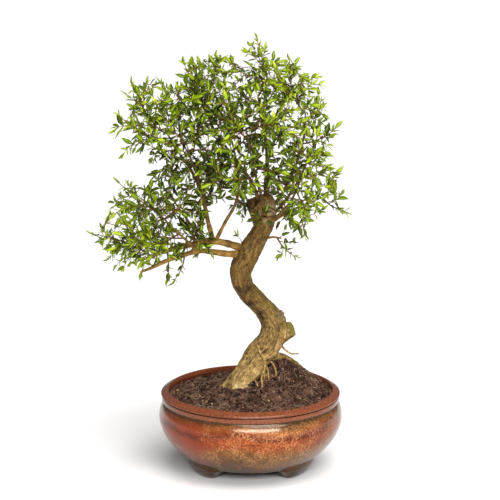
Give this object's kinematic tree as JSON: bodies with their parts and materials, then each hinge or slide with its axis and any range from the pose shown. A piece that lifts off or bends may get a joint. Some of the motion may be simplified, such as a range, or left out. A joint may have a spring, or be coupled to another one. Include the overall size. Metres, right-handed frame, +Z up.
{
  "type": "pomegranate bonsai",
  "caption": "Small-leaved bonsai tree with an S-curved trunk, spreading roots and a leafy crown, planted in soil in a round glazed pot on feet.",
  "frame": {"origin": "middle of the bounding box on the table plane that the pot's three feet stand on; the pot's own axis lies 42.9 mm to the +X side of it", "axes": "+Z up, +Y away from the viewer to the back of the tree, +X to the viewer's right; the long lower branch reaches to -X"},
  "size_m": [0.3574, 0.2494, 0.6069],
  "materials": {
    "glazed_clay": "gloss",
    "cover_mesh": "matte",
    "bark": "matte",
    "potting_soil": "matte",
    "foliage": "satin"
  },
  "bodies": {
    "root": {"pot": "glazed_clay", "drain_cover": "cover_mesh", "trunk": "bark", "soil": "potting_soil", "spray_01": "foliage", "spray_02": "foliage", "spray_03": "foliage", "spray_04": "foliage", "spray_05": "foliage", "spray_06": "foliage", "spray_07": "foliage", "spray_08": "foliage", "spray_09": "foliage", "spray_10": "foliage", "spray_11": "foliage", "spray_12": "foliage", "spray_13": "foliage", "spray_14": "foliage", "spray_15": "foliage", "spray_16": "foliage", "spray_17": "foliage", "spray_18": "foliage", "spray_19": "foliage", "spray_20": "foliage", "spray_21": "foliage", "spray_22": "foliage", "spray_23": "foliage", "spray_24": "foliage", "spray_25": "foliage", "spray_26": "foliage", "spray_27": "foliage", "spray_28": "foliage", "spray_29": "foliage", "spray_30": "foliage", "spray_31": "foliage", "spray_32": "foliage", "spray_33": "foliage", "spray_34": "foliage", "spray_35": "foliage", "spray_36": "foliage", "spray_37": "foliage", "spray_38": "foliage", "spray_39": "foliage", "spray_40": "foliage", "spray_41": "foliage", "spray_42": "foliage", "spray_43": "foliage", "spray_44": "foliage", "spray_45": "foliage", "spray_46": "foliage", "spray_47": "foliage", "spray_48": "foliage", "spray_49": "foliage", "spray_50": "foliage", "spray_51": "foliage", "spray_52": "foliage", "spray_53": "foliage", "spray_54": "foliage"}
  },
  "joints": []
}
